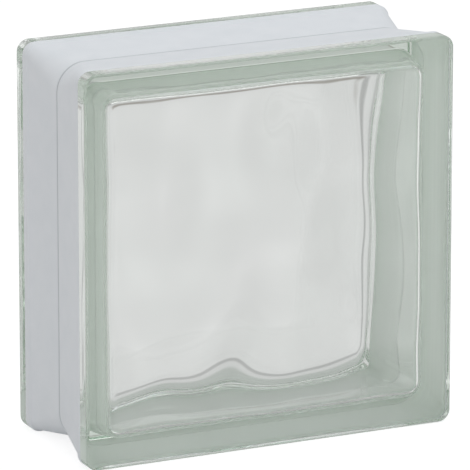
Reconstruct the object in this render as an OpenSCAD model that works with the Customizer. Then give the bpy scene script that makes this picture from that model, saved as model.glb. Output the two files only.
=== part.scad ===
// Hollow glass block: two pressed glass half shells fused rim to rim round a sealed air space,
// with a white coating over the mortar channel and most of the lips.
// Millimetres, +Z up. The origin is under the middle of the block, which stands on its lips.
// The front face looks along -Y.

/* [Block] */
// Width and height of the square faces
face_size = 190; // [150:1:240]
// Depth from the front face to the rear face
block_depth = 80; // [70:1:110]

/* [Lips] */
// Depth of the full-size lip behind each face
lip_depth = 12.5; // [9:0.5:16]
// Radius of the lip's corners, seen from the front
lip_corner_r = 6; // [4.5:0.5:10]
// Rounding of the edge between a face and its lip
face_edge_r = 1.5; // [1:0.5:4]
// Rounding of the lip's inner edge
lip_edge_r = 1.5; // [1:0.5:3]

/* [Mortar channel] */
// Depth of the channel where it leaves the lip
root_recess = 0.8; // [0.6:0.1:1]
// Depth of the channel beside the seam
seam_recess = 3.5; // [2:0.25:5]
// Radius of the channel's corners beside the seam
seam_corner_r = 14; // [9:0.5:20]
// Depth of the fine groove along the seam
seam_groove = 0.5; // [0.3:0.1:0.8]

/* [Glass] */
// Mean thickness of each face
face_wall = 8; // [6:0.25:11]
// Thickness of the side walls beside the seam
side_wall = 6; // [5:0.25:10]
// Slope of the inner side walls, in degrees
wall_draft = 5; // [3:0.5:8]
// Radius of the inner corners, seen from the front
inner_corner_r = 8; // [7.5:0.5:14]
// Fillet between the inner side walls and the inner face
inner_fillet_r = 6; // [3:0.5:7]

/* [Wave relief] */
// Height of the broad waves on the inner face, from trough to crest
wave_height = 1.5; // [0.5:0.1:2.5]
// Distance between the crests of the slanting waves
wave_pitch = 74; // [60:1:95]
// Distance between the crests of the level and upright ripples
ripple_pitch = 38; // [34:1:50]

/* [Coating] */
// Thickness of the white coating
coat_t = 0.4; // [0.2:0.1:0.5]
// Width of the bare glass between the coating and each face
bare_edge = 8; // [4.5:0.5:9]

/* [Smoothness] */
// Steps round a corner of the channel and of the air space
arc_steps = 4; // [4:1:12]
// Steps along a straight side of the air space
side_steps = 20; // [12:1:24]
// Steps across the fillet of the inner face
fillet_steps = 3; // [3:1:6]
// Rings from the fillet to the middle of the inner face
face_rings = 14; // [10:1:18]

/* [Hidden] */
$fn = 64;
half_face = face_size/2;
half_depth = block_depth/2;
lip_base = half_depth - lip_depth;
// the coating ends this far from the seam plane
coat_edge = half_depth - bare_edge;
// the glass lies this far inside the faces' outline where it is coated
coated_half = half_face - coat_t;
// the side wall runs this far up into the lip
wall_overlap = lip_edge_r;
groove_half_width = seam_groove;
// slope of the channel wall, as recess per millimetre of depth
channel_slope = (seam_recess - root_recess)/(lip_base - groove_half_width);
// growth of the channel's corner radius per millimetre of depth
corner_slope = (seam_corner_r - lip_corner_r)/(lip_base - groove_half_width);
// inner half width of the shell at the seam
seam_inner = coated_half - seam_recess - side_wall;
// the air space is cut this far past the seam plane
overrun = 1;
inner_face = half_depth - face_wall;
fillet_base = inner_face - inner_fillet_r;
face_inner = seam_inner - fillet_base*tan(wall_draft);

// Height of the wave relief above its mean level, as a sum of swells on four bearings
function swell(x, y, bearing, pitch, phase) = sin(360*(x*cos(bearing) + y*sin(bearing))/pitch + phase);
function wave(x, y) = wave_height/2*(
    swell(x, y, 132, wave_pitch, 280)
    + 0.5*swell(x, y, 172, ripple_pitch, 89)
    + 0.4*swell(x, y, 88, ripple_pitch, 266)
    + 0.4*swell(x, y, 35, 1.25*ripple_pitch, 155));

// Inner surface of the face at a point
function inner_level(x, y) = inner_face - wave(x, y);

// Recess and corner radius of the channel at a height above the seam plane
function recess(z) = seam_recess - channel_slope*(z - groove_half_width);
function channel_r(z) = seam_corner_r - corner_slope*(z - groove_half_width);

// Points of a rounded square, with extra points along its straight sides
function side_point(k, half, r, a) =
    (half - r)*[cos(90*k + 45), sin(90*k + 45)]*sqrt(2) + r*[cos(a), sin(a)];
function outline(half, r, steps = 1) = [
    for (k = [0:3])
        each concat(
            [for (i = [0:arc_steps]) side_point(k, half, r, 90*(k + i/arc_steps))],
            [for (j = [1:1:steps - 1])
                let (t = j/steps)
                (1 - t)*side_point(k, half, r, 90*(k + 1)) + t*side_point(k + 1, half, r, 90*(k + 1))])
];
function flat_ring(half, r, z, steps = 1) = [for (p = outline(half, r, steps)) [p.x, p.y, z]];

// One ring of the channel wall, raised from the glass by a layer
function channel_ring(z, layer = 0, extra = 0) =
    flat_ring(coated_half - recess(abs(z)) - extra + layer, channel_r(abs(z)), z);

// Closed solid through a stack of rings with equal numbers of points, with a fan at each end
function middle(ring) = [for (p = ring) 1]*ring/len(ring);
module loft(rings) {
    n = len(rings[0]);
    last = len(rings) - 1;
    first_hub = len(rings)*n;
    last_hub = first_hub + 1;
    sides = [
        for (j = [0:last - 1])
            for (i = [0:n - 1])
                let (a = j*n + i, b = j*n + (i + 1)%n)
                each [[a, a + n, b], [b, a + n, b + n]]
    ];
    ends = [
        for (i = [0:n - 1])
            let (k = (i + 1)%n)
            each [[i, k, first_hub], [last*n + k, last*n + i, last_hub]]
    ];
    polyhedron(
        points = concat([for (ring = rings) each ring], [middle(rings[0]), middle(rings[last])]),
        faces = concat(sides, ends));
}

// Section of the coated part of a lip, from the axis of its corner outwards, raised by a layer
module coated_section(layer) {
    reach = lip_corner_r - coat_t + layer;
    edge_r = lip_edge_r + layer;
    height = coat_edge - lip_base + layer;
    intersection() {
        square([reach, height]);
        union() {
            square([reach - edge_r, height]);
            translate([0, edge_r])
                square([reach, height - edge_r]);
            translate([reach - edge_r, edge_r])
                circle(edge_r);
        }
    }
}

// Section of the bare edge beside a face
module bare_section() {
    intersection() {
        square([lip_corner_r, bare_edge]);
        union() {
            square([lip_corner_r - face_edge_r, bare_edge]);
            square([lip_corner_r, bare_edge - face_edge_r]);
            translate([lip_corner_r - face_edge_r, bare_edge - face_edge_r])
                circle(face_edge_r);
        }
    }
}

// Section of the whole glass lip
module lip_section() {
    coated_section(0);
    translate([0, lip_depth - bare_edge])
        bare_section();
    square([lip_corner_r - coat_t - max(face_edge_r, lip_edge_r), lip_depth]);
}

// Square plate with a section swept round its edge and turned at its corners
module plate(base, height) {
    corner = half_face - lip_corner_r;
    translate([0, 0, base]) {
        for (k = [0:3])
            rotate(90*k)
                translate([corner, corner, 0]) {
                    rotate_extrude(angle = 90)
                        children();
                    rotate([90, 0, 0])
                        linear_extrude(2*corner)
                            children();
                }
        translate([-corner, -corner, 0])
            cube([2*corner, 2*corner, height]);
    }
}

module lip_plate() {
    plate(lip_base, lip_depth)
        lip_section();
}

// Face of the coating over a lip, as a solid plate
module coated_plate() {
    plate(lip_base - coat_t, coat_edge - lip_base + coat_t)
        coated_section(coat_t);
}

// Side walls of one half, narrowing from the lip to the seam
module channel_wall() {
    loft([
        channel_ring(0, 0, seam_groove),
        channel_ring(groove_half_width),
        channel_ring(lip_base + wall_overlap)
    ]);
}

// Side walls of both halves, raised by a layer
module channel_band(layer) {
    far = lip_base + wall_overlap;
    loft([
        channel_ring(-far, layer),
        channel_ring(-groove_half_width, layer),
        channel_ring(0, layer, seam_groove),
        channel_ring(groove_half_width, layer),
        channel_ring(far, layer)
    ]);
}

// Copies a shape to both sides of the seam plane
module both_sides() {
    children();
    mirror([0, 0, 1])
        children();
}

// Air space of one half: drafted walls, a fillet and the wavy inner face
module air_space() {
    function wall_ring(z) = flat_ring(seam_inner - z*tan(wall_draft), inner_corner_r, z, side_steps);
    function fillet_ring(a) = let (inset = inner_fillet_r*(1 - cos(a)), drop = inner_fillet_r*(1 - sin(a)))
        [for (p = outline(face_inner - inset, inner_corner_r - inset, side_steps))
            [p.x, p.y, inner_level(p.x, p.y) - drop]];
    function face_ring(t) =
        [for (p = outline(face_inner - inner_fillet_r, inner_corner_r - inner_fillet_r, side_steps))
            [t*p.x, t*p.y, inner_level(t*p.x, t*p.y)]];
    loft(concat(
        [wall_ring(-overrun)],
        [for (i = [0:fillet_steps]) fillet_ring(90*i/fillet_steps)],
        [for (j = [face_rings - 1:-1:1]) face_ring(j/face_rings)]));
}

// One pressed shell, with its rim on the seam plane and its face upwards
module half_shell() {
    difference() {
        union() {
            lip_plate();
            channel_wall();
        }
        air_space();
    }
}

// Turns a shape from the moulding position to the standing block
module stand_up() {
    translate([0, 0, half_face])
        rotate([90, 0, 0])
            children();
}

module front_half() {
    color([0.72, 0.78, 0.73, 0.5])
        stand_up()
            half_shell();
}

module rear_half() {
    color([0.70, 0.76, 0.72, 0.5])
        rotate(180)
            stand_up()
                half_shell();
}

module edge_coating() {
    color([0.88, 0.89, 0.92])
        stand_up()
            difference() {
                union() {
                    both_sides()
                        coated_plate();
                    channel_band(coat_t);
                }
                both_sides()
                    lip_plate();
                channel_band(0);
            }
}

front_half();
rear_half();
edge_coating();
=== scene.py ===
# Hollow glass block: a fused pair of pressed glass shells with a white coating round the edge.
# Metres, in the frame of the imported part: +Z up, the front face looks along -Y.
import math

import bpy
import numpy as np
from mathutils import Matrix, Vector


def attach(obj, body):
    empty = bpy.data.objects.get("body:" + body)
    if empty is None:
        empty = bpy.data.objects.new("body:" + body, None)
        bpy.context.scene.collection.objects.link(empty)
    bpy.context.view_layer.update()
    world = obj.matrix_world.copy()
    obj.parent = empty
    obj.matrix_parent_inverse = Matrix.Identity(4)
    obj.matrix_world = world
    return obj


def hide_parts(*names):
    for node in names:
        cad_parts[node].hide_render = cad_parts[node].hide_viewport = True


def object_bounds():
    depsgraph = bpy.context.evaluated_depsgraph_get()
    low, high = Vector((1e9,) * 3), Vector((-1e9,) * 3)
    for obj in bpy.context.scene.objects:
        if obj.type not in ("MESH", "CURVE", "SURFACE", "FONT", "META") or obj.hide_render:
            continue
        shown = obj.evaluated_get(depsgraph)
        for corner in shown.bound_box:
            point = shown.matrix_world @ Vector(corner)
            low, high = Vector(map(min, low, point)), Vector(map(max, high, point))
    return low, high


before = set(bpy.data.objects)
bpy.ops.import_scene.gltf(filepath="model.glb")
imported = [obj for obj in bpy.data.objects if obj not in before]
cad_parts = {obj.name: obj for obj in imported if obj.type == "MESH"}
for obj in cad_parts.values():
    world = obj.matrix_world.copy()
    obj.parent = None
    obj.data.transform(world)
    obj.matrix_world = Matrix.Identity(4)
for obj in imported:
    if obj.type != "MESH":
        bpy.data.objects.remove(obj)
cad_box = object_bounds()

MM = 0.001

# Sizes of the block, as in the part's source
FACE_SIZE = cad_box[1][0] - cad_box[0][0]
BLOCK_DEPTH = cad_box[1][1] - cad_box[0][1]
LIP_DEPTH = 12.5*MM
LIP_CORNER_R = 6*MM
FACE_EDGE_R = 1.5*MM
LIP_EDGE_R = 1.5*MM
ROOT_RECESS = 0.8*MM
SEAM_RECESS = 3.5*MM
SEAM_CORNER_R = 14*MM
SEAM_GROOVE = 0.5*MM
FACE_WALL = 8*MM
SIDE_WALL = 6*MM
WALL_DRAFT = math.radians(5)
INNER_CORNER_R = 8*MM
INNER_FILLET_R = 6*MM
WAVE_HEIGHT = 1.5*MM
WAVE_PITCH = 74*MM
RIPPLE_PITCH = 38*MM
COAT_T = 0.4*MM
BARE_EDGE = 8*MM

HALF_FACE = FACE_SIZE/2
HALF_DEPTH = BLOCK_DEPTH/2
LIP_BASE = HALF_DEPTH - LIP_DEPTH
COAT_EDGE = HALF_DEPTH - BARE_EDGE
SEAM_INNER = HALF_FACE - COAT_T - SEAM_RECESS - SIDE_WALL
INNER_FACE = HALF_DEPTH - FACE_WALL
FILLET_BASE = INNER_FACE - INNER_FILLET_R
FACE_INNER = SEAM_INNER - FILLET_BASE*math.tan(WALL_DRAFT)

# Corners of the lip's inner edge and of the channel's root before they are rounded, from the lip's base
LIP_EDGE_START = 1.4*MM
ROOT_START = 0.45*MM
# Height above the lip's base from which a ring has the lip's corner radius
LIP_CORNER_START = 0.3*MM
# Smallest corner radius of a ring on the lip
LEAST_CORNER_R = 0.6*MM
# Rounding of the seam groove and of its edges
GROOVE_EDGE_R = 0.3*MM
# Depth of the slope where the coating ends
STEP_DEPTH = 0.1*MM
# Gap between the glass and the coating
COAT_GAP = 0.02*MM
# One more ring on each face, this far inside the end of the section and this much rounder, keeps it flat
FACE_RING_INSET = 1*MM
FACE_RING_EASE = 2*MM
# Faces of the glass that lie further out than its inner walls by this much are on its outside
WALL_MARGIN = 1*MM

# Fineness of the meshes
ARC_STEPS = 14
EDGE_STEP = math.radians(9)
LEAST_EDGE_STEPS = 3
FACE_STEPS = 150
FILLET_STEPS = 16
WALL_RINGS = 9
WALL_RING_REACH = 0.8

# The photo's camera, with its sensor and lens in millimetres, and its directions: along the view, to the
# right and up
SENSOR_WIDTH = 36.0
LENS = 439.0
DISTANCE = 2.7147
TARGET = (-0.193*MM, 0, 93.572*MM)
AZIMUTH = math.radians(-25.244)
ELEVATION = math.radians(15.572)
VIEW_AXIS = (-math.sin(AZIMUTH)*math.cos(ELEVATION),
             math.cos(AZIMUTH)*math.cos(ELEVATION),
             -math.sin(ELEVATION))
RIGHT_AXIS = (math.cos(AZIMUTH), math.sin(AZIMUTH), 0)
UP_AXIS = (-math.sin(AZIMUTH)*math.sin(ELEVATION),
           math.cos(AZIMUTH)*math.sin(ELEVATION),
           math.cos(ELEVATION))


# Shapes, made in the moulding position: the seam lies in the plane z = 0 and the front face looks up

def swell(x, y, bearing, pitch, phase):
    """One wave of unit height, with its bearing and phase in degrees."""
    along = x*math.cos(math.radians(bearing)) + y*math.sin(math.radians(bearing))
    return np.sin(2*math.pi*along/pitch + math.radians(phase))


def wave(x, y):
    """Height of the wave relief above its mean level, as a sum of swells on four bearings."""
    return WAVE_HEIGHT/2*(swell(x, y, 132, WAVE_PITCH, 280)
                          + 0.5*swell(x, y, 172, RIPPLE_PITCH, 89)
                          + 0.4*swell(x, y, 88, RIPPLE_PITCH, 266)
                          + 0.4*swell(x, y, 35, 1.25*RIPPLE_PITCH, 155))


def inner_level(x, y):
    """Inner surface of the face at a point."""
    return INNER_FACE - wave(x, y)


def outline(half, radius):
    """Points of a rounded square."""
    points = []
    for k in range(4):
        centre = (half - radius)*math.sqrt(2)*np.array(
            [math.cos(math.pi*(2*k + 1)/4), math.sin(math.pi*(2*k + 1)/4)])
        for i in range(ARC_STEPS + 1):
            a = math.pi/2*(k + i/ARC_STEPS)
            points.append(centre + radius*np.array([math.cos(a), math.sin(a)]))
    return np.array(points)


def flat_ring(half, radius, z):
    """Rounded square at one height."""
    flat = outline(half, radius)
    return np.column_stack([flat, np.full(len(flat), z)])


def rounded_path(corners):
    """Polyline through (half, z, radius) corners, with each corner turned into an arc of its radius."""
    path = []
    for i, (x, z, radius) in enumerate(corners):
        here = np.array([x, z])
        if i == 0 or i == len(corners) - 1 or radius == 0:
            path.append(here)
            continue
        before = np.array(corners[i - 1][:2]) - here
        after = np.array(corners[i + 1][:2]) - here
        before /= np.linalg.norm(before)
        after /= np.linalg.norm(after)
        opening = math.acos(float(np.clip(before @ after, -1, 1)))
        reach = radius/math.tan(opening/2)
        middle = before + after
        centre = here + middle/np.linalg.norm(middle)*radius/math.sin(opening/2)
        first = here + before*reach - centre
        turn = math.pi - opening
        if before[1]*after[0] - before[0]*after[1] < 0:
            turn = -turn
        steps = max(LEAST_EDGE_STEPS, int(abs(turn)/EDGE_STEP))
        for k in range(steps + 1):
            a = turn*k/steps
            path.append(centre + np.array([first[0]*math.cos(a) - first[1]*math.sin(a),
                                           first[0]*math.sin(a) + first[1]*math.cos(a)]))
    return path


def recess(z):
    """Depth of the channel at a height above the seam plane."""
    slope = (SEAM_RECESS - ROOT_RECESS)/(LIP_BASE - SEAM_GROOVE)
    return SEAM_RECESS - slope*(abs(z) - SEAM_GROOVE)


def channel_r(z):
    """Corner radius of the channel at a height above the seam plane."""
    slope = (SEAM_CORNER_R - LIP_CORNER_R)/(LIP_BASE - SEAM_GROOVE)
    return SEAM_CORNER_R - slope*(abs(z) - SEAM_GROOVE)


def outer_path(layer):
    """Section of the outside from the front to the rear face, with the coated stretch raised by a layer.

    Points beside the rounded edges and the step keep the stretches between them flat.
    """
    coated = HALF_FACE - COAT_T + layer
    lip_end = LIP_BASE + LIP_EDGE_START - layer
    root = LIP_BASE + ROOT_START - layer
    half = [
        (HALF_FACE - 2*FACE_EDGE_R, HALF_DEPTH, 0),
        (HALF_FACE, HALF_DEPTH, FACE_EDGE_R),
        (HALF_FACE, HALF_DEPTH - 1.5*FACE_EDGE_R, 0),
        (HALF_FACE, COAT_EDGE + 3*STEP_DEPTH, 0),
        (HALF_FACE, COAT_EDGE + STEP_DEPTH, 0),
        (coated, COAT_EDGE, 0),
        (coated, COAT_EDGE - 2*STEP_DEPTH, 0),
        (coated, lip_end, LIP_EDGE_R),
        (coated - recess(root), root, LIP_EDGE_R),
        (coated - recess(SEAM_GROOVE), SEAM_GROOVE, GROOVE_EDGE_R),
    ]
    seam = [(coated - SEAM_RECESS - SEAM_GROOVE, 0, GROOVE_EDGE_R)]
    rear = [(x, -z, r) for x, z, r in reversed(half)]
    return rounded_path(half + seam + rear)


def section_ring(x, z):
    """Ring of the outside at one point of its section."""
    if abs(z) > LIP_BASE + LIP_CORNER_START:
        radius = max(LIP_CORNER_R - (HALF_FACE - x), LEAST_CORNER_R)
    else:
        radius = channel_r(z)
    return flat_ring(x, radius, z)


def outer_rings():
    """Rings of the outside, from the front face to the rear face."""
    path = outer_path(0)

    def face_ring(x, z):
        return flat_ring(x - FACE_RING_INSET, LIP_CORNER_R - (HALF_FACE - x) + FACE_RING_EASE, z)

    return [face_ring(*path[0])] + [section_ring(x, z) for x, z in path] + [face_ring(*path[-1])]


def loft_solid(rings):
    """Closed surface through a stack of rings, with a fan at each end."""
    n = len(rings[0])
    verts = [tuple(p) for ring in rings for p in ring]
    last = len(verts) - n
    hubs = (len(verts), len(verts) + 1)
    verts.append(tuple(rings[0].mean(0)))
    verts.append(tuple(rings[-1].mean(0)))
    faces = []
    for a in range(0, last, n):
        for i in range(n):
            k = (i + 1) % n
            faces.append((a + n + i, a + n + k, a + k, a + i))
    for i in range(n):
        k = (i + 1) % n
        faces.append((hubs[0], i, k))
        faces.append((hubs[1], last + k, last + i))
    return verts, faces


def square_rim(steps):
    """Points round a square of half width 1, counter-clockwise from its right lower corner."""
    t = np.arange(steps)*2/steps - 1
    one = np.ones(steps)
    return np.concatenate([np.column_stack(c) for c in ((one, t), (-t, one), (-one, -t), (t, -one))])


def soften(points, half, radius):
    """Moves the corner points of a square of a given half width onto its corner arcs."""
    centre = np.clip(points, radius - half, half - radius)
    arm = points - centre
    length = np.maximum(np.linalg.norm(arm, axis=1), 1e-12)[:, None]
    in_corner = (np.abs(arm) > 0).all(axis=1)[:, None]
    return np.where(in_corner, centre + arm*radius/length, points)


def inner_rings():
    """Rings of the air space round its walls and fillets, from the front inner face to the rear one."""
    rim = square_rim(FACE_STEPS)

    def wall_ring(half, radius):
        return soften(rim*half, half, radius)

    def fillet_rings(hand):
        rings = []
        for i in range(FILLET_STEPS + 1):
            a = math.pi/2*(1 - i/FILLET_STEPS)
            inset = INNER_FILLET_R*(1 - math.cos(a))
            drop = INNER_FILLET_R*(1 - math.sin(a))
            flat = wall_ring(FACE_INNER - inset, INNER_CORNER_R - inset)
            level = inner_level(hand*flat[:, 0], flat[:, 1]) - drop
            rings.append(np.column_stack([flat, hand*level]))
        return rings

    walls = []
    for z in np.linspace(WALL_RING_REACH, -WALL_RING_REACH, WALL_RINGS)*FILLET_BASE:
        flat = wall_ring(SEAM_INNER - abs(z)*math.tan(WALL_DRAFT), INNER_CORNER_R)
        walls.append(np.column_stack([flat, np.full(len(flat), z)]))
    return fillet_rings(1) + walls + fillet_rings(-1)[::-1]


def face_grid(hand):
    """Grid of a wavy inner face; hand is 1 for the front shell and -1 for the rear one, turned round."""
    half = FACE_INNER - INNER_FILLET_R
    t = np.linspace(-1, 1, FACE_STEPS + 1)
    u, v = np.meshgrid(t, t, indexing="ij")
    square = np.column_stack([u.ravel(), v.ravel()])
    reach = np.maximum(np.abs(square).max(axis=1), 1e-9)[:, None]
    flat = soften(square/reach*half, half, INNER_CORNER_R - INNER_FILLET_R)*reach
    return np.column_stack([flat, hand*inner_level(hand*flat[:, 0], flat[:, 1])])


def air_space():
    """Closed surface of the air space: two wavy faces and the rings between them."""
    n = FACE_STEPS + 1
    faces = []
    verts = []
    for hand in (1, -1):
        base = len(verts)
        verts.extend(face_grid(hand).tolist())
        for i in range(FACE_STEPS):
            for j in range(FACE_STEPS):
                a = base + i*n + j
                quad = (a, a + n, a + n + 1, a + 1)
                faces.append(quad[::-1] if hand > 0 else quad)

    def edge(base):
        """Grid points round the edge, in the order of square_rim."""
        s = FACE_STEPS
        return ([base + s*n + j for j in range(s)] + [base + (s - i)*n + s for i in range(s)]
                + [base + s - j for j in range(s)] + [base + i*n for i in range(s)])

    rings = inner_rings()
    m = len(rings[0])
    stack = [edge(0)]
    for ring in rings[1:-1]:
        stack.append(list(range(len(verts), len(verts) + m)))
        verts.extend(ring.tolist())
    stack.append(edge(n*n))
    for low, high in zip(stack, stack[1:]):
        for i in range(m):
            k = (i + 1) % m
            faces.append((low[k], high[k], high[i], low[i]))
    return verts, faces


def coat_rings():
    """Rings of the coating, out along its outside and back along its inside."""
    edge = COAT_EDGE + STEP_DEPTH/10
    outer = [section_ring(x, z) for x, z in outer_path(COAT_T) if abs(z) <= edge]
    inner = [section_ring(x, z) for x, z in outer_path(COAT_GAP) if abs(z) <= edge]
    return outer + inner[::-1]


def band(rings):
    """Closed band through rings that run out along its outside and back along its inside."""
    n = len(rings[0])
    verts = [tuple(p) for ring in rings for p in ring]
    faces = []
    for a in range(0, len(verts), n):
        b = (a + n) % len(verts)
        for i in range(n):
            k = (i + 1) % n
            faces.append((b + i, b + k, a + k, a + i))
    return verts, faces


def add_to_scene(name, data):
    """New object in the scene."""
    obj = bpy.data.objects.new(name, data)
    bpy.context.scene.collection.objects.link(obj)
    return obj


def mesh_object(name, verts, faces):
    """Smooth mesh, turned from the moulding position to the standing block."""
    mesh = bpy.data.meshes.new(name)
    mesh.from_pydata([(x, -z, y + HALF_FACE) for x, y, z in verts], [], faces)
    mesh.validate()
    mesh.polygons.foreach_set("use_smooth", [True]*len(mesh.polygons))
    return add_to_scene(name, mesh)


# Nodes that the materials and the studio share

def put(node, socket, value):
    """Sets an input of a node."""
    node.inputs[socket].default_value = value


def maths(tree, operation, *values):
    """Result of an operation; each value is an output or a plain number."""
    node = tree.nodes.new("ShaderNodeMath")
    node.operation = operation
    for socket, value in zip(node.inputs, values):
        if isinstance(value, float):
            socket.default_value = value
        else:
            tree.links.new(value, socket)
    return node.outputs[0]


def part_of(tree, value, low, high):
    """From 0 to 1 while a value goes from low to high."""
    node = tree.nodes.new("ShaderNodeMapRange")
    put(node, "From Min", low)
    put(node, "From Max", high)
    tree.links.new(value, node.inputs["Value"])
    return node.outputs["Result"]


def mix_colours(tree, factor, first, second):
    """Goes from the first colour to the second; each is an output or a plain colour."""
    mix = tree.nodes.new("ShaderNodeMix")
    mix.data_type = "RGBA"
    tree.links.new(factor, mix.inputs["Factor"])
    slots = [socket for socket in mix.inputs if socket.type == "RGBA"]
    for slot, colour in zip(slots, (first, second)):
        if isinstance(colour, tuple):
            slot.default_value = colour
        else:
            tree.links.new(colour, slot)
    return next(socket for socket in mix.outputs if socket.type == "RGBA")


def ramp(tree, value, stops):
    """Colour ramp from (position, colour) stops."""
    node = tree.nodes.new("ShaderNodeValToRGB")
    tree.links.new(value, node.inputs["Fac"])
    points = node.color_ramp.elements
    while len(points) < len(stops):
        points.new(0.5)
    for point, (position, colour) in zip(points, stops):
        point.position = position
        point.color = (*colour, 1)
    return node.outputs["Color"]


def through_glass(tree):
    """The light path, and 1 for light that a surface bends or mirrors or 0 for all other light."""
    path = tree.nodes.new("ShaderNodeLightPath")
    bent = path.outputs["Is Transmission Ray"]
    mirrored = path.outputs["Is Glossy Ray"]
    return path, maths(tree, "MAXIMUM", bent, mirrored)


def noise(tree, cycles, detail=2.0):
    """Noise over the part, with its cycles per metre along each axis."""
    place = tree.nodes.new("ShaderNodeTexCoord")
    spread = tree.nodes.new("ShaderNodeMapping")
    put(spread, "Scale", cycles)
    tree.links.new(place.outputs["Object"], spread.inputs["Vector"])
    texture = tree.nodes.new("ShaderNodeTexNoise")
    put(texture, "Scale", 1.0)
    put(texture, "Detail", detail)
    tree.links.new(spread.outputs["Vector"], texture.inputs["Vector"])
    return texture.outputs["Fac"]


def uneven(tree, cycles, detail, darkest, lightest):
    """Colour that wanders between two shades over the part."""
    return ramp(tree, noise(tree, cycles, detail), ((0.3, darkest), (0.7, lightest)))


def rough_skin(tree, shader, value, height):
    """Fine relief of a given height from a noise value."""
    bump = tree.nodes.new("ShaderNodeBump")
    put(bump, "Distance", height)
    tree.links.new(value, bump.inputs["Height"])
    tree.links.new(bump.outputs["Normal"], shader.inputs["Normal"])


def position(tree):
    """Position on the part, as its X, Y and Z outputs."""
    place = tree.nodes.new("ShaderNodeTexCoord")
    parts = tree.nodes.new("ShaderNodeSeparateXYZ")
    tree.links.new(place.outputs["Object"], parts.inputs[0])
    return parts.outputs


def seam_shade_mask(tree, near, far):
    """1 up to a near distance from the seam plane, and 0 past a far one, for painted shade along the seam.
    """
    return part_of(tree, maths(tree, "ABSOLUTE", position(tree)["Y"]), far, near)


def grey(level):
    """Plain grey of a given level."""
    return (level, level, level, 1)


def new_material(name):
    """A material, its node tree, its shader and its output."""
    mat = bpy.data.materials.new(name)
    mat.use_nodes = True
    tree = mat.node_tree
    return mat, tree, tree.nodes["Principled BSDF"], tree.nodes["Material Output"]


# Materials

def glass_material():
    """Clear glass with a green body tint and a faint, uneven haze."""
    mat, tree, shader, out = new_material("clear_glass")
    haze = uneven(tree, (30, 30, 22), 2.0, (0.993, 0.997, 0.995), (1, 1, 1))
    tree.links.new(haze, shader.inputs["Base Color"])
    put(shader, "Transmission Weight", 1.0)
    put(shader, "Roughness", 0.0)
    put(shader, "IOR", 1.52)
    volume = tree.nodes.new("ShaderNodeVolumeAbsorption")
    put(volume, "Color", (0.40, 0.60, 0.42, 1))
    put(volume, "Density", 5.0)
    tree.links.new(volume.outputs["Volume"], out.inputs["Volume"])
    return mat


def paint_material():
    """The coating's back as the glass shows it.

    It has streaks along the edge, and painted shade as a dark line in the seam. Toward its bottom it is
    greyer with painted shade, most of all at the step where the coating ends.
    """
    mat, tree, shader, _ = new_material("paint_on_glass")
    streaks = uneven(tree, (14, 420, 14), 3.0, (0.955, 0.955, 0.955), (0.995, 0.995, 0.995))
    height = position(tree)["Z"]
    # Painted shade: greyer over the lowest few millimetres of the coating
    underside_shade = part_of(tree, height, 8*MM, 4*MM)
    # Painted shade: darker still at the step where the coating ends on the bottom
    step = part_of(tree, height, 0.98*COAT_T, 0.85*COAT_T)
    # Painted shade: a darker line along the seam
    seam = seam_shade_mask(tree, 0.4*MM, 0.9*MM)
    colour = mix_colours(tree, underside_shade, streaks, grey(0.92))
    colour = mix_colours(tree, step, colour, grey(0.7))
    colour = mix_colours(tree, seam, colour, grey(0.80))
    tree.links.new(colour, shader.inputs["Base Color"])
    put(shader, "Roughness", 1.0)
    put(shader, "Specular IOR Level", 0.0)
    return mat


def coat_material():
    """Matte white coating, a little uneven, with painted shade as a darker line in the seam groove."""
    mat, tree, shader, _ = new_material("white_coating")
    white = uneven(tree, (90, 90, 90), 4.0, (0.81, 0.835, 0.862), (0.845, 0.865, 0.89))
    # Painted shade: darker in the seam groove
    groove = seam_shade_mask(tree, 0.6*SEAM_GROOVE, 1.8*SEAM_GROOVE)
    colour = mix_colours(tree, groove, white, (0.60, 0.62, 0.64, 1))
    tree.links.new(colour, shader.inputs["Base Color"])
    put(shader, "Roughness", 0.6)
    rough_skin(tree, shader, noise(tree, (900, 900, 900)), 0.02*MM)
    return mat


def floor_material():
    """Floor that glows white for the camera, and is clear for light that a surface bends or mirrors."""
    mat, tree, shader, out = new_material("floor")
    put(shader, "Roughness", 1.0)
    put(shader, "Specular IOR Level", 0.0)
    path, through = through_glass(tree)
    seen = path.outputs["Is Camera Ray"]
    shade = tree.nodes.new("ShaderNodeMapRange")
    put(shade, "To Min", 0.8)
    put(shade, "To Max", 0.35)
    tree.links.new(seen, shade.inputs["Value"])
    tree.links.new(shade.outputs["Result"], shader.inputs["Base Color"])
    put(shader, "Emission Color", (1, 1, 1, 1))
    tree.links.new(maths(tree, "MULTIPLY", seen, 0.8), shader.inputs["Emission Strength"])
    clear = tree.nodes.new("ShaderNodeBsdfTransparent")
    mix = tree.nodes.new("ShaderNodeMixShader")
    tree.links.new(through, mix.inputs["Fac"])
    tree.links.new(shader.outputs[0], mix.inputs[1])
    tree.links.new(clear.outputs[0], mix.inputs[2])
    tree.links.new(mix.outputs[0], out.inputs["Surface"])
    return mat


# Pieces

def painted(mesh, poly):
    """Tells whether a face of the glass lies under the coating."""
    corners = [mesh.vertices[v].co for v in poly.vertices]
    reach = min(max(abs(p.x), abs(p.z - HALF_FACE)) for p in corners)
    depth = max(abs(p.y) for p in corners)
    outside = reach > SEAM_INNER + WALL_MARGIN
    return outside and depth <= COAT_EDGE + STEP_DEPTH


def glass_body():
    """Both shells as one closed glass body round the air space, with paint on the coated faces."""
    outside, outside_faces = loft_solid(outer_rings())
    inside, inside_faces = air_space()
    shift = len(outside)
    shifted = [tuple(v + shift for v in face) for face in inside_faces]
    obj = mesh_object("glass_body", outside + inside, outside_faces + shifted)
    mesh = obj.data
    mesh.materials.append(glass_material())
    mesh.materials.append(paint_material())
    mesh.polygons.foreach_set("material_index", [int(painted(mesh, poly)) for poly in mesh.polygons])
    return obj


def edge_coat():
    """The white coating over the channel and the inner part of the lips."""
    obj = mesh_object("edge_coat", *band(coat_rings()))
    obj.data.materials.append(coat_material())
    return obj


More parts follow.
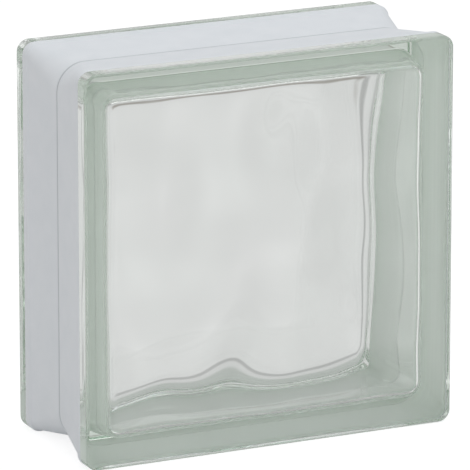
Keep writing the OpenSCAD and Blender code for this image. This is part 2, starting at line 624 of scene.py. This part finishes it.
glass = glass_body()
coat = edge_coat()
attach(glass, "root")
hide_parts("front_half", "rear_half")
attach(coat, "root")
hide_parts("edge_coating")


# Studio

def floor_object():
    """White floor with the block's shadow; the glass looks through it to the backdrop."""
    reach = 6.0
    mesh = bpy.data.meshes.new("studio_floor")
    corners = [(-reach, -reach, 0), (reach, -reach, 0), (reach, reach, 0), (-reach, reach, 0)]
    mesh.from_pydata(corners, [], [(0, 1, 2, 3)])
    obj = add_to_scene("studio_floor", mesh)
    mesh.materials.append(floor_material())


# What the glass shows of the studio on each side, by degrees from the view axis: the backdrop, a dim gap
# round it, the walls and the lamps. Each stop is (degrees, level) or (degrees, level, shade).
WHITE = (1, 1, 1)
WARM = (1, 0.93, 0.86)
GREENISH = (0.95, 1, 0.96)
MIDDLE = ((0, 0.72), (3, 0.70))
BACKDROP = MIDDLE + ((6, 0.68), (11, 0.67))
UPPER_GAP = MIDDLE + ((6.5, 0.675), (8.5, 0.32, WARM), (13, 0.32, WARM), (14.3, 0.60), (22, 0.60))
BEHIND_CAMERA = ((164, 0.8),)
BESIDE = (BACKDROP
          + ((12.5, 0.40), (15.5, 0.40), (19, 0.68), (31, 0.68), (37, 0.5), (44, 0.5), (55, 0.62))
          + ((84, 0.62), (88, 1.0), (97, 1.0), (102, 0.7), (140, 0.65), (155, 1.1))
          + BEHIND_CAMERA)
LEFT = (MIDDLE
        + ((6, 0.68), (41, 0.67), (43.5, 0.95), (48.5, 0.95), (51, 0.66), (60, 0.66))
        + ((85, 0.42), (140, 0.42), (155, 0.8)))
ABOVE = (UPPER_GAP
         + ((35, 0.40), (75, 0.33), (140, 0.31), (155, 0.6))
         + BEHIND_CAMERA)
STRIP_LAMP = (UPPER_GAP
              + ((26, 0.55), (27.5, 0.85), (30.5, 0.85), (32, 0.44), (46, 0.42), (50, 2.6), (57, 2.6))
              + ((61, 0.36), (140, 0.34), (155, 0.6))
              + BEHIND_CAMERA)
BELOW = (BACKDROP
         + ((12.5, 0.42), (15.5, 0.42), (17.5, 0.62), (22, 0.62), (26, 0.47, GREENISH), (60, 0.45, GREENISH))
         + ((99, 0.42), (107, 1.2), (130, 1.4), (140, 0.95), (155, 0.95))
         + BEHIND_CAMERA)
# Sideways or upright share of a bearing, from 0 to 1, between which one side goes over into the next, and
# the upper side into the strip lamp
SIDE_FROM = 0.4
SIDE_TO = 0.8
STRIP_FROM = 0.96
STRIP_TO = 0.98
# Level of the light on the coating and the floor
EVEN_LEVEL = 0.64


def studio_world():
    """White backdrop for the camera, an even light for the coating, and a studio for the glass."""
    world = bpy.data.worlds.new("studio")
    bpy.context.scene.world = world
    world.use_nodes = True
    tree = world.node_tree
    path, through = through_glass(tree)
    place = tree.nodes.new("ShaderNodeTexCoord")

    def along(axis):
        """Part of the light's direction along an axis."""
        part = tree.nodes.new("ShaderNodeVectorMath")
        part.operation = "DOT_PRODUCT"
        put(part, 1, axis)
        tree.links.new(place.outputs["Generated"], part.inputs[0])
        return part.outputs["Value"]

    angle = maths(tree, "ARCCOSINE", along(VIEW_AXIS))
    turn = part_of(tree, angle, 0, math.pi)
    sine = maths(tree, "SINE", angle)
    right = maths(tree, "DIVIDE", along(RIGHT_AXIS), sine)
    up = maths(tree, "DIVIDE", along(UP_AXIS), sine)

    def shown(stops):
        """Colours of one side, by the angle from the view axis."""
        colours = []
        for degrees, level, *shade in stops:
            hue = shade[0] if shade else WHITE
            colours.append((degrees/180, tuple(level*part for part in hue)))
        return ramp(tree, turn, colours)

    leftward = part_of(tree, right, -SIDE_FROM, -SIDE_TO)
    upward = part_of(tree, up, SIDE_FROM, SIDE_TO)
    overhead = part_of(tree, up, STRIP_FROM, STRIP_TO)
    downward = part_of(tree, up, -SIDE_FROM, -SIDE_TO)
    colour = mix_colours(tree, leftward, shown(BESIDE), shown(LEFT))
    colour = mix_colours(tree, upward, colour, shown(ABOVE))
    colour = mix_colours(tree, overhead, colour, shown(STRIP_LAMP))
    colour = mix_colours(tree, downward, colour, shown(BELOW))
    colour = mix_colours(tree, through, grey(EVEN_LEVEL), colour)
    colour = mix_colours(tree, path.outputs["Is Camera Ray"], colour, (*WHITE, 1))
    tree.links.new(colour, tree.nodes["Background"].inputs["Color"])


def top_light():
    """Large soft lamp above the block."""
    data = bpy.data.lights.new("top_soft", "AREA")
    data.shape = "RECTANGLE"
    data.size = 1.2
    data.size_y = 1.2
    data.energy = 4
    data.color = (0.94, 1.0, 1.06)
    obj = add_to_scene("top_soft", data)
    place = np.array([0.1, -0.2, 1.4])
    aim = np.array([0, 0, 0.1])
    obj.location = place
    obj.rotation_euler = Vector(aim - place).to_track_quat("-Z", "Y").to_euler()


def photo_camera():
    """Camera that sees the block as the photo does."""
    data = bpy.data.cameras.new("photo_camera")
    data.sensor_width = SENSOR_WIDTH
    data.lens = LENS
    data.clip_end = 100.0
    obj = add_to_scene("photo_camera", data)
    obj.location = np.array(TARGET) - DISTANCE*np.array(VIEW_AXIS)
    obj.rotation_euler = (math.pi/2 - ELEVATION, 0, AZIMUTH)
    bpy.context.scene.camera = obj


floor_object()
studio_world()
top_light()
photo_camera()

# Light passes the glass surfaces many times before it leaves the block
scene = bpy.context.scene
scene.view_settings.view_transform = "Standard"
scene.cycles.blur_glossy = 0.0
scene.cycles.max_bounces = 48
scene.cycles.diffuse_bounces = 16
scene.cycles.glossy_bounces = 48
scene.cycles.transmission_bounces = 48
